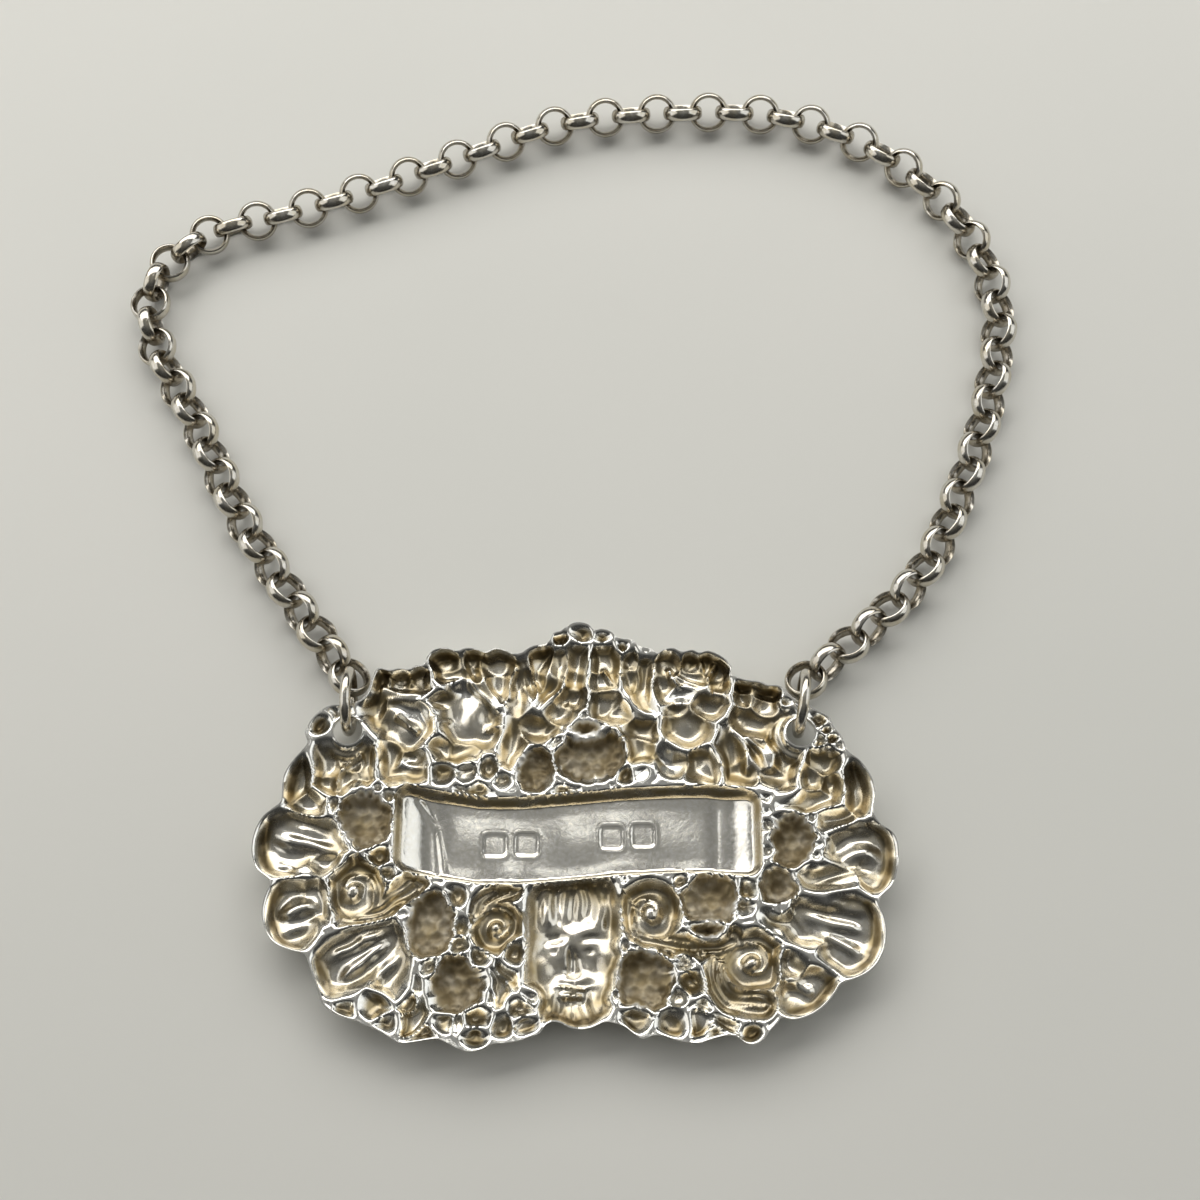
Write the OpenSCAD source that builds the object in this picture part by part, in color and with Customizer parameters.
// Silver wine label: a stamped plate, two jump rings and a closed chain of 74 belcher links.
// Millimetres. X runs along the label, Y from the label towards the far end of the chain, Z up.
// The label lies face down, and the flat front of its title panel rests on Z = 0 round the origin.

/* [Plate] */
// Width of the plate over its side lobes
plate_w = 64.5; // [62.5:0.5:66.5]
// Thickness of the stamped sheet
sheet_t = 0.65; // [0.6:0.05:0.75]
// Height of the back of the rim above the table
rim_h = 3.6; // [3.5:0.05:3.7]
// Diameter of the two holes that carry the jump rings
hole_d = 3; // [2.9:0.05:3.1]

/* [Title panel] */
// Length of the title panel
panel_w = 36; // [34:0.5:37]
// Height of the title panel
panel_h = 8; // [7.6:0.1:8.4]

/* [Relief] */
// Depth of the hollow behind the mask
mask_depth = 1.9; // [1.5:0.1:2.1]
// Depth of the hollows behind the vine leaves
leaf_depth = 1.55; // [1.3:0.05:1.9]
// Depth of the hollows behind the grape bunches
bunch_depth = 1.75; // [1.4:0.05:2]
// Depth of the eyes of the scrolls
scroll_depth = 1.6; // [1.3:0.1:1.9]
// Depth of the lobes of the shells between their ribs
flute_depth = 1.7; // [1.4:0.05:1.9]

/* [Jump rings] */
// Outside diameter of a jump ring
ring_od = 7.2; // [7.1:0.05:7.4]
// Diameter of the ring wire
ring_wire = 1.1; // [1:0.05:1.15]
// Turn of the right ring about the vertical, off the line across the label
right_ring_turn = 8; // [4:1:9]

/* [Chain] */
// Outside diameter of a link
link_od = 4.25; // [4.15:0.05:4.35]
// Thickness of the link band at its middle
link_t = 0.5; // [0.46:0.01:0.51]
// Width of the link band
link_w = 1.4; // [1.3:0.02:1.42]
// Play between two links pulled taut
link_play = 0.25; // [0.24:0.01:0.32]
// How much closer the links lie where the loop turns sharply
corner_slack = 0.22; // [0.18:0.01:0.26]

/* [Hidden] */
// How far the inside and the outside of the link band bulge
band_in = 0.2;
band_out = 0.22;
link_count = 74;
// How much closer than taut the end links hang on the jump rings
end_slack = 0.5;
link_in_r = link_od / 2 - link_t;
pitch = 2 * link_in_r - link_play;
chain_z = link_od / 2;

// All places on the plate are drawn for a width of 64.5 and scale with it
drawn_w = 64.5;
k = plate_w / drawn_w;
sheet_floor = sheet_t - 0.05;
dome = 0.4;
ring_steps = 18;
// Shares of the panel's half width at which its rings of points lie
panel_rings = [0, 0.5, 0.84, 1];
// Width of the panel's sloping wall, and how far its front lies outside its back
panel_slope = 0.5;
wall_grow = 0.6 * sheet_t;
// Height and width of the rolls at the ends of the panel
roll_h = 1.1;
roll_w = 3;
// Width of the wall along the rim
rim_wall = 1.4;
// How far the hollows reach beyond their drawn outlines, so that neighbours meet
hollow_spread = 0.75;

// Outline of the plate, counter-clockwise, with the side lobes, the scalloped foot and the top finial
outline = [
  [29.8, 1.6], [29.8, 2.6], [30, 4], [29.6, 5.6], [28.6, 7.2], [27.5, 8.1], [27.2, 8.8], [26.8, 9.8],
  [26.1, 10.7], [25.6, 11.8], [24.6, 12.4], [23.5, 13.1], [22.4, 13.6], [21.5, 14.2], [20.7, 15.1],
  [19.6, 15.2], [18.6, 15.6], [17.6, 15.7], [16.5, 16], [15.7, 16.4], [15.8, 17.1], [15.3, 17.9],
  [14.5, 18.5], [13.4, 18.9], [12.6, 18.7], [11.8, 19], [10.8, 18.8], [9.8, 19.2], [8.8, 19],
  [8.2, 18.6], [7.6, 19.1], [6.8, 19.3], [6.2, 19.5], [5.6, 20.1], [4.8, 20.2], [4, 20.4], [3.4, 21],
  [2.5, 21.3], [1.6, 21.2], [1, 21.8], [0.4, 22], [-0.4, 22], [-1.2, 21.6], [-1.8, 21.1], [-2.6, 20.8],
  [-2.9, 20.1], [-3.6, 19.6], [-4.5, 19.5], [-5.2, 19.2], [-5.9, 18.7], [-6.7, 18.6], [-7.6, 19],
  [-8.6, 19.2], [-9.7, 18.8], [-10.6, 19.1], [-11.7, 19.2], [-12.6, 18.9], [-13.8, 19.2], [-15, 19],
  [-15.6, 18.3], [-16, 17.4], [-16.7, 17.3], [-17.6, 16.9], [-18.5, 17], [-19.5, 16.8], [-20.6, 17],
  [-21.1, 16.2], [-21.5, 14.8], [-22.3, 13.6], [-24, 13.1], [-25.4, 13], [-26.4, 12.4], [-27.1, 11.7],
  [-27.6, 10.8], [-27.8, 10], [-27.5, 9.1], [-28, 8.3], [-28.8, 7.3], [-29.5, 6.2], [-29.8, 5.2],
  [-29.8, 4], [-29.9, 2.9], [-30.7, 2.2], [-31.5, 1.5], [-32.2, 0.2], [-32.5, -1.3], [-32.4, -2.7],
  [-31.9, -3.9], [-31, -4.6], [-30.4, -5.3], [-30.7, -6.1], [-31, -7.1], [-31.1, -8.4], [-30.8, -9.7],
  [-30.1, -10.9], [-29.1, -11.6], [-28, -12], [-26.8, -12.3], [-26.3, -13.1], [-25.9, -14.2],
  [-25.5, -15.2], [-25.1, -16.2], [-24.8, -17], [-24, -17.8], [-22.8, -18.4], [-21.4, -18.8],
  [-20.2, -19.3], [-19, -19.8], [-18, -20.4], [-17, -20.9], [-15.8, -20.8], [-14.5, -20.6],
  [-13.5, -20.5], [-12.5, -20.9], [-11.5, -21.4], [-10.4, -21.7], [-9.2, -21.5], [-8.2, -21],
  [-7, -20.9], [-5.7, -20.7], [-4.5, -20.3], [-3.5, -19.9], [-3, -19.2], [-2.4, -18.9], [-1.6, -19],
  [-0.8, -19.4], [0.2, -19.6], [1.2, -19.5], [2, -19.2], [2.7, -18.9], [3.6, -19], [4.7, -19.4],
  [5.6, -20.1], [6.4, -20.5], [7.3, -20.2], [8.3, -20.2], [9.2, -20.5], [10.4, -20.8], [11.8, -20.9],
  [13.1, -20.5], [14.4, -20.2], [15.5, -20.3], [16.3, -20.9], [17.2, -21], [18.1, -20.5], [18.6, -19.8],
  [19.4, -19], [19.9, -18.5], [20.8, -18.7], [22, -18.5], [23.3, -17.9], [24.4, -17], [25.2, -16],
  [25.8, -15.2], [27, -14.8], [28.3, -14.2], [29.4, -13.2], [30.1, -11.8], [30.4, -10], [30.2, -8.6],
  [29.8, -7.5], [30.2, -6.5], [31.2, -5.5], [31.8, -4], [32, -2.2], [31.9, -1], [31.4, -0.1],
  [30.4, 0.6]
];

// Middle line of the wavy title panel as [x, y]
panel_line = [
  [-18, 0.5], [-14, -0.3], [-10, -0.9], [-6, -0.95], [0, -0.45], [4, -0.05], [9, 0.2], [13, 0.25],
  [18, -0.2]
];

// Hollows of the vine leaves, each a set of ellipses [x, y, half width, half height, turn]
leaves = [
  [
    [-20.4, 15.8, 1.3, 1.2, 0], [-18.3, 16, 1.4, 1.1, 0], [-16.5, 16, 1.3, 1.2, 0],
    [-18.4, 15, 3, 1, 0], [-20.6, 13, 0.9, 2.2, 0]
  ],
  [
    [-17, 11, 3, 1.8, 0], [-15.2, 11.2, 1.2, 1.2, 0], [-19.2, 11.4, 1.4, 1.6, 0],
    [-17.4, 13, 2, 0.8, -8]
  ],
  [[-19.2, 7.9, 1.2, 2.2, 0], [-17.6, 6.3, 1.8, 0.9, 0]],
  [[-16.6, 8.2, 1.4, 0.8, 20]],
  [
    [-13.8, 17.9, 1.5, 1.4, 0], [-11.4, 17.9, 1.3, 1.3, 0], [-12.6, 16.6, 2.2, 1.3, 0],
    [-14, 16.4, 1, 1, 0]
  ],
  [
    [-8.8, 17.5, 1.7, 1.7, 0], [-7.2, 16.4, 1.2, 1.8, 0], [-9, 15.6, 1.6, 2, 20],
    [-7.6, 14, 1.1, 1.4, 0]
  ],
  [
    [-13.4, 13.8, 1.7, 1.5, 0], [-13.2, 9.2, 1.8, 1.6, 0], [-11.4, 11.4, 2.8, 3.4, 0],
    [-10, 10.4, 2.1, 2.4, 0], [-10.4, 13.8, 1.8, 1, -35]
  ],
  [[-4.2, 18.1, 1.4, 1.4, 0], [-4.6, 16, 1.2, 2.4, 8], [-5.2, 14, 1, 1.4, 0]],
  [
    [-0.4, 17.6, 1.2, 1.5, 0], [-2, 17.6, 0.9, 1.4, 0], [-1.2, 15.4, 1.3, 1.8, -10],
    [-2.2, 14.4, 0.9, 1.4, -20]
  ],
  [[-1.8, 12.2, 1.5, 1.1, 15], [-3, 11.4, 1, 0.8, 20]],
  [[-5.4, 10.7, 1.8, 1.1, 0], [-6.7, 9.2, 0.8, 2, 0]],
  [[2.6, 18, 1.5, 1.4, 0], [2.5, 16, 1.4, 1.4, 0]],
  [[2.7, 13.3, 1.6, 1.6, 0], [4.4, 12.6, 1.4, 1, -40]],
  [[5.6, 17.8, 0.9, 0.9, 0], [6.3, 16.2, 1.1, 2, 10], [6.6, 14, 1.1, 1.6, 0]],
  [
    [9.7, 17.7, 1.5, 1.4, 0], [11.8, 17.7, 1.4, 1.3, 0], [13.4, 17.4, 1.3, 1.2, 0],
    [14.7, 16.6, 1, 1.4, 0], [11.6, 16, 3.4, 1.5, 0], [9.2, 15.6, 1.2, 1.8, 0]
  ],
  [[13.7, 13, 1.8, 1.2, 8]],
  [[10.6, 11.2, 2.2, 1.4, 0], [12.2, 9.9, 1.3, 1, 0], [10.4, 13.6, 1.6, 0.9, 20]],
  [[6.8, 10.2, 1.1, 1.8, 15], [5.6, 11.2, 1.4, 0.8, -15]],
  [[9.2, 7.2, 1.8, 1.1, -20]],
  [[12.7, 6.7, 1.5, 1.4, 0]],
  [[15.8, 7.8, 1.2, 1.9, 0]],
  [
    [18, 11.6, 2.6, 1.3, 0], [20.2, 11, 1.4, 1.6, 0], [20.6, 9.2, 1.3, 1.8, 0], [21.3, 7, 1.2, 2.4, 0],
    [20, 5.6, 1.7, 1, 0]
  ],
  [[17.6, 6.2, 1.2, 0.9, 0]],
  [
    [-25.4, 7, 1.5, 1.6, 0], [-25.2, 5.2, 1.3, 1.2, 0], [-23.6, 5.4, 1.6, 1.3, 0],
    [-23.2, 7.2, 1.6, 1.3, 0]
  ],
  [[-21.4, 7.2, 1, 2.2, 0]],
  [
    [23.8, 5.6, 1.3, 1.3, 0], [25.2, 7, 1.5, 1.2, 0], [25.9, 4.8, 1.3, 1.6, 0],
    [24.2, 3.3, 2.2, 1.1, 10]
  ]
];

// Lobes of the two shells, each a set of ellipses
lobes = [
  [[-28.4, 5, 1.5, 3, -15], [-27.2, 2.8, 2.2, 1.6, 0]],
  [[-27.6, -0.6, 4.6, 2.6, -10], [-29.2, -1.4, 3.2, 3.6, 0], [-25.4, -3.2, 2.2, 1.6, 0]],
  [[-28.2, -8.2, 2.9, 3.6, 0], [-26, -7, 2.2, 2.4, 0]],
  [
    [-22.4, -13, 3.6, 2.8, 30], [-20, -12, 3.6, 2.4, 40], [-18.6, -13.4, 2, 3, 0],
    [-23.6, -14, 2.2, 2.2, 0]
  ],
  [[28, 4.4, 1.8, 3.2, 15], [26, 1.4, 2.4, 1.4, 20]],
  [[28, -1.6, 3.8, 2.6, 0], [29.6, -2.4, 2.4, 3.6, 0], [25, -4.4, 3, 1.6, 0]],
  [
    [27, -9.8, 3.6, 3.4, -30], [24, -9.2, 3.4, 2.2, -20], [26.6, -12, 2.8, 2.4, 0],
    [21.4, -9.6, 3, 1.7, -25]
  ],
  [[22.6, -15.8, 3, 2.4, 15], [21, -13.4, 1.6, 1.6, 0]]
];

// Ribs inside the shells as [half width, height, points]
ribs = [
  [0.8, 1.1, [[-30.8, -0.6], [-27, -1.6], [-23.4, -2.4]]],
  [0.5, 0.5, [[-30.4, -3.6], [-28, -3.9], [-25.4, -4.2]]],
  [0.7, 1, [[-29.4, -8.2], [-27.4, -7.9], [-25, -7.5]]],
  [0.6, 0.4, [[-29, -10.2], [-27, -10], [-25, -9.4]]],
  [0.5, 0.9, [[-24.6, -13], [-21, -11.2], [-17.2, -8.9]]],
  [0.5, 0.6, [[-18.4, -15], [-17.4, -13.4], [-16.6, -11.4]]],
  [0.85, 1.1, [[30.6, -2.6], [27, -2.8], [24, -3.4], [22.2, -5]]],
  [0.6, 0.5, [[29.4, 0], [26.6, -0.2], [24.6, 0.4]]],
  [0.6, 0.8, [[28.6, -6.7], [25, -6.6], [22, -6.4]]],
  [0.6, 0.8, [[28.8, -10.4], [25, -9.2], [21.4, -8.4]]],
  [0.8, 1.1, [[25, -14.2], [22, -12], [19.6, -10.2], [17, -8.6]]],
  [0.7, 0.7, [[23, -15.8], [21.4, -15], [20.4, -14]]],
  [0.5, 0.4, [[22.6, -17.4], [20.6, -16.6], [19, -15.8]]]
];

// Grape bunches as [x, y, half width, half height]
bunches = [
  [1.4, 8, 3.4, 2.6], [0.9, 10.6, 1.6, 1.4], [-4.6, 6.5, 1.9, 2], [-21.4, 1.4, 2.6, 3],
  [-14.7, -9.3, 2.5, 3.1], [-11.8, -15.2, 2.4, 2.7], [21.6, -0.8, 2.3, 2.8], [20, -5.5, 1.6, 1.6],
  [13.3, -6.9, 2.7, 2.4], [13.1, -10, 1.4, 1.1], [6.4, -14.7, 2.7, 3.1]
];

// Single round hollows as [x, y, radius]
pits = [
  [-20, -2.6, 1.1], [-12.1, -6.6, 0.8], [-13.9, 6.2, 1.1], [-11.2, 6.3, 0.8], [-9, 6.6, 0.9],
  [-7.4, 5.6, 0.9], [6.6, 7.2, 0.9], [6.8, 9.4, 0.8], [-19.5, -17.2, 1.2], [-18.6, -18.9, 0.8],
  [-16.8, -19.2, 1], [-16.4, -17.2, 1], [-13.6, -19, 1], [-9.8, -18.8, 1.2], [-9.8, -20.2, 1],
  [-7.3, -19.2, 0.8], [-5.3, -17.8, 1], [-5, -19, 0.8], [5.8, -18.5, 1.2], [9.3, -19, 1.1],
  [12, -19.2, 1], [14.4, -18.9, 0.9], [17, -19.5, 1], [23.4, -17, 0.9], [-6.1, -12, 0.9],
  [-8.2, -14.6, 1], [10.6, -12.9, 0.9], [11.2, -15, 1.1], [0.2, 20.6, 0.9], [-26.6, 11.2, 0.8],
  [17.4, 14.6, 0.9], [19.6, 14, 0.9], [21.4, 13.4, 0.8]
];

// Scrolls as [x, y, half width, half height]
scrolls = [
  [-22.2, -6, 2.9, 3.2], [-8, -9.6, 2.2, 2.2], [7.3, -8.2, 2.5, 3], [17.2, -13, 2.9, 2.8]
];

// Bands that run into the scrolls as [half width, points]
bands = [
  [1.1, [[-22, -8.4], [-20, -8], [-18.2, -6.9], [-16.4, -5.6]]],
  [0.85, [[-9.6, -8.4], [-9.2, -7], [-8, -6.2], [-6.6, -5.6]]],
  [0.9, [[6, -10.6], [8.4, -11.4], [11, -11.6], [13.6, -11.5], [15.4, -10.9]]],
  [0.9, [[13.9, -12.9], [13.6, -14.4], [13.9, -16], [15.2, -17], [18, -17.2]]]
];

// Head of the mask as [x, y, half width, half height]
mask = [-0.4, -12, 4.5, 7.3];

left_hole = k * [-23.5, 10.4];
right_hole = k * [22.7, 10.2];

// A jump ring stands on the table, through its hole and round the strip of plate outside the hole
ring_r = (ring_od - ring_wire) / 2;
ring_z = ring_od / 2;
hole_z = rim_h - sheet_t / 2;
ring_reach = sqrt(ring_r * ring_r - pow(ring_z - hole_z, 2));
chain_drop = ring_z - chain_z;
chain_reach = sqrt(ring_r * ring_r - chain_drop * chain_drop);
left_along = [0, 1];
right_along = [sin(right_ring_turn), cos(right_ring_turn)];
left_ring_at = left_hole + ring_reach * left_along;
right_ring_at = right_hole + ring_reach * [sin(right_ring_turn) / 2, cos(right_ring_turn)];
chain_start = left_ring_at + chain_reach * left_along;
chain_end = right_ring_at + chain_reach * right_along;
end_reach = link_in_r - ring_wire / 2 - link_play / 2 - end_slack;

// The chain lies in a loop drawn by hand, from the middle between its two ends
loop_points = [
  [-29.5, 8.5], [-36, 18.5], [-41.5, 29.5], [-47, 40], [-47, 47.5], [-41.5, 53], [-33.5, 55.5],
  [-24.5, 58.5], [-13.5, 63], [-2, 67.5], [10.5, 69], [23, 68.5], [34, 64], [42.5, 55.5],
  [46.5, 44.5], [45, 33], [41, 21.5], [35.5, 11]
];
middle = (chain_start + chain_end) / 2;
loop_spans = len(loop_points) + 1;

// Roll of the odd links about the run of the chain, as [link, degrees]; even links stand across them
rolls = [[1, 32], [8, 50], [14, 54], [24, 126], [46, 132], [56, 140], [66, 140], [74, 112]];

// How much closer than taut the links lie round the left corner, as [link, distance]
slack = [[13, 0], [16, corner_slack], [22, corner_slack], [25, 0]];

function angle_of(p) = (atan2(p.y, p.x) + 360) % 360;

// Angle and distance of each point of the outline, and once more round the start
first_angle = angle_of(outline[0]);
rim = [
  for (n = [0:len(outline)])
    let (p = outline[n % len(outline)], a = angle_of(p))
    [n > 0 && a <= first_angle ? a + 360 : a, norm(p)]
];
angle_steps = len(outline);

// Distance from the middle of the plate to its edge
function rim_radius(angle) =
  let (turned = (angle + 360) % 360)
  k * lookup(turned < first_angle ? turned + 360 : turned, rim);

// Profile of a wall that starts steep and flattens out
function rise(distance, width) =
  let (t = min(1, max(0, distance / width)))
  t * (2 - t);

// Distance inside the edge of an ellipse, below zero outside it
function oval(p, o) =
  let (
    d = [p.x - o[0], p.y - o[1]],
    u = (d.x * cos(o[4]) + d.y * sin(o[4])) / o[2],
    v = (d.y * cos(o[4]) - d.x * sin(o[4])) / o[3]
  )
  (1 - norm([u, v])) * min(o[2], o[3]);

function cluster(p, ovals) = max([for (o = ovals) oval(p, o)]);

function upright(o) = [o[0], o[1], o[2], o[3], 0];

// Distance from a place to a line through points
function to_segment(p, a, b) =
  let (run = b - a, t = min(1, max(0, ((p - a) * run) / (run * run))))
  norm(p - a - t * run);

function to_line(p, points) =
  min([for (n = [0:len(points) - 2]) to_segment(p, points[n], points[n + 1])]);

// The largest of some values apart from the best one
function runner_up(values, best) = max([for (v = values) v < best ? v : best - 9]);

// Each hollow gives [distance inside its edge, depth, width of its wall]
function lobe(p, parts) =
  let (rib = max([for (r = ribs) r[1] * exp(-pow(to_line(p, r[2]) / r[0], 2))]))
  [cluster(p, parts), flute_depth * max(0.3, 1 - 0.75 * rib), 1.1];

function bunch(p, b) =
  let (inside = oval(p, upright(b)))
  [inside, bunch_depth * (0.75 + 0.25 * min(1, max(0, inside / min(b[2], b[3])))), 0.8];

function scroll(p, s) =
  let (inside = oval(p, upright(s)), knob = 1 - inside / min(s[2], s[3]))
  [inside, scroll_depth * (1 - 0.45 * exp(-pow(knob / 0.25, 2))), 0.7];

function head(p) =
  let (inside = oval(p, upright(mask)), u = (p.x - mask[0]) / mask[2])
  [inside, mask_depth * (0.7 + 0.3 * max(0, 1 - u * u)), 1];

function hollows_at(p) = concat(
  [for (parts = leaves) [cluster(p, parts), leaf_depth, 0.9]],
  [for (parts = lobes) lobe(p, parts)],
  [for (b = bunches) bunch(p, b)],
  [for (c = pits) [oval(p, [c[0], c[1], c[2], c[2], 0]), 0.7 + 0.6 * c[2], 0.8 * c[2]]],
  [for (s = scrolls) scroll(p, s)],
  [for (b = bands) [b[0] - to_line(p, b[1]), 1.3, 0.7]],
  [head(p)]
);

// Depth of the relief: neighbouring hollows meet in a ridge
function depth_at(p) =
  let (
    all = hollows_at(p),
    values = [for (h = all) h[0] + hollow_spread],
    best = max(values),
    owner = all[[for (n = [0:len(all) - 1]) if (values[n] == best) n][0]],
    edge = min(best, (best - runner_up(values, best)) / 2)
  )
  owner[1] * rise(edge, owner[2]);

function in_panel(p) =
  abs(p.x) < panel_w / 2 && abs(p.y - k * lookup(p.x / k, panel_line)) < panel_h / 2;

// Distance from the middle of the plate to the edge of the title panel
function panel_radius(angle, low = 0, high = plate_w / 2, turns = 14) =
  let (half = (low + high) / 2)
  turns == 0 ? half
  : in_panel(half * [cos(angle), sin(angle)]) ? panel_radius(angle, half, high, turns - 1)
  : panel_radius(angle, low, half, turns - 1);

// Distance to one of the rings of points on the sheet: three on the panel's floor, one at the top of
// its wall and the rest from there to the rim; grow moves the wall outwards for the front of the sheet
function ring_radius(ring, angle, grow) =
  let (wall = panel_radius(angle), top = wall + panel_slope, edge = rim_radius(angle))
  ring <= 3 ? (wall + grow) * panel_rings[ring]
  : ring == 4 ? top + grow
  : top + (edge - top) * (ring - 4) / (ring_steps - 4);

// The panel's floor rolls up at both ends
function panel_height(p) = sheet_floor + roll_h * (1 - rise(panel_w / 2 + 0.6 - abs(p.x), roll_w));

// The relief stays shallow round the holes, so that the rings have room
function near_hole(p) = min([for (h = [left_hole, right_hole]) norm(p - h) - hole_d / 2]);

// Height of the back of the sheet at a place on a ring
function back_height(p, ring) =
  let (
    edge = rim_radius(atan2(p.y, p.x)),
    share = norm(p) / edge,
    base = rim_h - dome * (1 - share * share),
    shut = rise(edge - norm(p), rim_wall) * min(1, 0.75 * (ring - 4)) * rise(near_hole(p) - 0.6, 2.4)
  )
  ring <= 3 ? panel_height(p) : base - depth_at(p / k) * shut;

// One of the drawn points of the loop, stretched by s, with the chain's ends at the rings
function loop_point(n, s) =
  n <= 0 ? chain_start : n >= loop_spans ? chain_end : middle + s * loop_points[n - 1];

function loop_at(t, s) =
  let (
    n = min(floor(t), loop_spans - 1),
    f = t - n,
    a = loop_point(n - 1, s),
    b = loop_point(n, s),
    c = loop_point(n + 1, s),
    d = loop_point(n + 2, s)
  )
  b + f * ((c - a) + f * ((2 * a - 5 * b + 4 * c - d) + f * (3 * b - a - 3 * c + d))) / 2;

// The place on the loop, past t, that is a given distance from point p
function step_on(p, low, high, reach, s, turns = 18) =
  let (half = (low + high) / 2)
  turns == 0 ? half
  : norm(loop_at(half, s) - p) < reach ? step_on(p, half, high, reach, s, turns - 1)
  : step_on(p, low, half, reach, s, turns - 1);

function next_on(t, i, s) =
  step_on(loop_at(t, s), t, min(t + 0.6, loop_spans), pitch - lookup(i, slack), s);

function last_on(t, i, s) =
  i == link_count || t > loop_spans - 0.001 ? t : last_on(next_on(t, i, s), i + 1, s);

function first_on(s) = step_on(chain_start, 0, 0.6, end_reach, s);

// The loop is stretched or shrunk until the last link meets the right ring
function chain_short(s) =
  let (t = last_on(first_on(s), 1, s))
  t < loop_spans - 0.4 || (t < loop_spans - 0.001 && norm(chain_end - loop_at(t, s)) > end_reach);

function fit_loop(low, high, turns = 16) =
  let (half = (low + high) / 2)
  turns == 0 ? half
  : chain_short(half) ? fit_loop(low, half, turns - 1)
  : fit_loop(half, high, turns - 1);

loop_size = fit_loop(0.85, 1.15);

function walk(t, i) =
  i > link_count ? [] : concat([loop_at(t, loop_size)], walk(next_on(t, i, loop_size), i + 1));

link_at = walk(first_on(loop_size), 1);

function link_before(i) = i == 0 ? chain_start : link_at[i - 1];

function link_after(i) = i == link_count - 1 ? chain_end : link_at[i + 1];

function link_run(i) = link_after(i) - link_before(i);

function link_roll(i) = lookup(i + 1, rolls) + (i % 2 == 1 ? 90 : 0);

module sheet() {
  angles = [for (n = [0:angle_steps - 1]) rim[n][0]];
  back = [
    for (r = [1:ring_steps], a = angles)
      let (radius = ring_radius(r, a, 0), p = radius * [cos(a), sin(a)])
      [p.x, p.y, back_height(p, r)]
  ];
  count = len(back);
  front = [
    for (r = [1:ring_steps], n = [0:angle_steps - 1])
      let (a = angles[n], radius = ring_radius(r, a, wall_grow))
      [radius * cos(a), radius * sin(a), back[(r - 1) * angle_steps + n].z - sheet_t]
  ];
  // Back points come first, then front points, then the two middle points
  function at(r, a) = r * angle_steps + a % angle_steps;
  skin = [
    for (a = [0:angle_steps - 1]) [2 * count, at(0, a + 1), at(0, a)],
    for (r = [0:ring_steps - 2], a = [0:angle_steps - 1]) [at(r, a), at(r, a + 1), at(r + 1, a)],
    for (r = [0:ring_steps - 2], a = [0:angle_steps - 1]) [at(r, a + 1), at(r + 1, a + 1), at(r + 1, a)]
  ];
  face = [for (f = skin) [for (i = [2, 1, 0]) f[i] == 2 * count ? 2 * count + 1 : f[i] + count]];
  edge = [
    for (a = [0:angle_steps - 1])
      let (p = at(ring_steps - 1, a), q = at(ring_steps - 1, a + 1))
      [p, q, q + count, p + count]
  ];
  walls = [for (e = edge) each [[e[0], e[1], e[2]], [e[0], e[2], e[3]]]];
  polyhedron(
    points = concat(back, front, [[0, 0, sheet_floor], [0, 0, sheet_floor - sheet_t]]),
    faces = concat(skin, face, walls)
  );
}

module plate() {
  color("#c4bba8")
    difference() {
      intersection() {
        sheet();
        translate([-plate_w, -plate_w, 0]) cube([2 * plate_w, 2 * plate_w, 2 * rim_h]);
      }
      for (at = [left_hole, right_hole])
        translate([at.x, at.y, -1]) cylinder(h = rim_h + 2, d = hole_d, $fn = 64);
    }
}

module jump_ring(at, turn) {
  color("#b9b5ab")
    translate([at.x, at.y, ring_z])
      rotate([0, 90, -turn])
        rotate_extrude($fn = 96) translate([ring_r, 0]) circle(d = ring_wire, $fn = 48);
}

// Section of a link band: two shallow arcs that meet at the thin edges
module band() {
  half = link_w / 2;
  in_arc = (half * half + band_in * band_in) / (2 * band_in);
  out_arc = (half * half + band_out * band_out) / (2 * band_out);
  intersection() {
    translate([link_in_r + in_arc, 0]) circle(r = in_arc, $fn = 96);
    translate([link_od / 2 - out_arc, 0]) circle(r = out_arc, $fn = 96);
    translate([0, -half]) square([link_od, link_w]);
  }
}

module link(i) {
  run = link_run(i);
  translate([link_at[i].x, link_at[i].y, chain_z])
    rotate([0, 0, atan2(run.y, run.x)])
      rotate([link_roll(i), 0, 0])
        rotate_extrude($fn = 96) band();
}

module chain_links(n) {
  color("#a8a49a") {
    link(2 * n - 2);
    link(2 * n - 1);
  }
}

plate();
jump_ring(left_ring_at, 0);  // left_jump_ring
jump_ring(right_ring_at, right_ring_turn);  // right_jump_ring
for (n = [1:link_count / 2]) chain_links(n);
